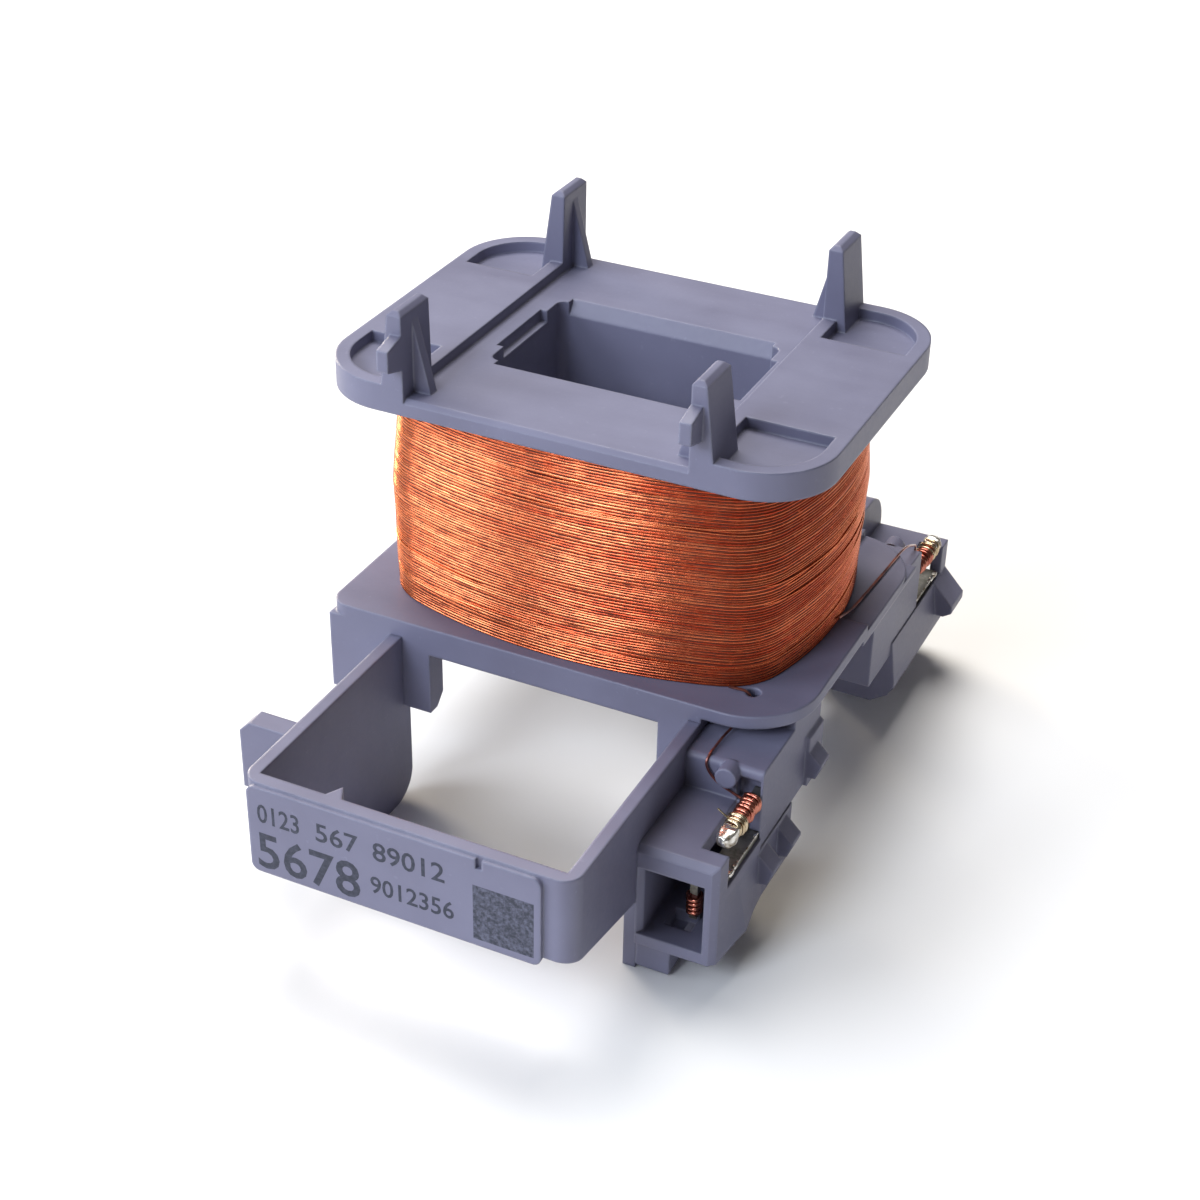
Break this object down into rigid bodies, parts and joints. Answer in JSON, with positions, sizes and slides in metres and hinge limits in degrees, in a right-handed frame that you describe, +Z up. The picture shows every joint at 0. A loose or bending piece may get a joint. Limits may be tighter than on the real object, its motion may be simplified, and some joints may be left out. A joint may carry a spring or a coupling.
{
  "type": "contactor coil",
  "caption": "Contactor coil: copper winding on a flanged moulded bobbin with guide posts, a label frame and terminal pockets with wire-wrapped pins.",
  "frame": {"origin": "on the core window's axis, in the plane of the feet", "axes": "+Z up along the core window, +Y to the back, away from the label frame; +X to the side with the terminal housings"},
  "size_m": [0.0423, 0.0643, 0.0444],
  "materials": {
    "moulding": "fine satin, blue grey",
    "winding": "enamelled copper wire, glossy",
    "wire": "enamelled copper wire",
    "tinned_metal": "tinned, dull",
    "solder": "satin solder with flux tint",
    "film": "clear amber film"
  },
  "bodies": {
    "root": {"bobbin": "moulding", "label_frame": "moulding", "front_terminal_housing": "moulding", "rear_terminal_housing": "moulding", "core_insulation": "film", "copper_winding": "winding", "front_lead": "wire", "rear_lead": "wire", "front_terminal_pin": "tinned_metal", "rear_terminal_pin": "tinned_metal", "front_contact_strip": "tinned_metal", "rear_contact_strip": "tinned_metal", "front_pin_wrap": "wire", "rear_pin_wrap": "wire", "front_solder": "solder", "rear_solder": "solder", "front_tag_wrap": "wire", "rear_tag_wrap": "wire"}
  },
  "joints": []
}
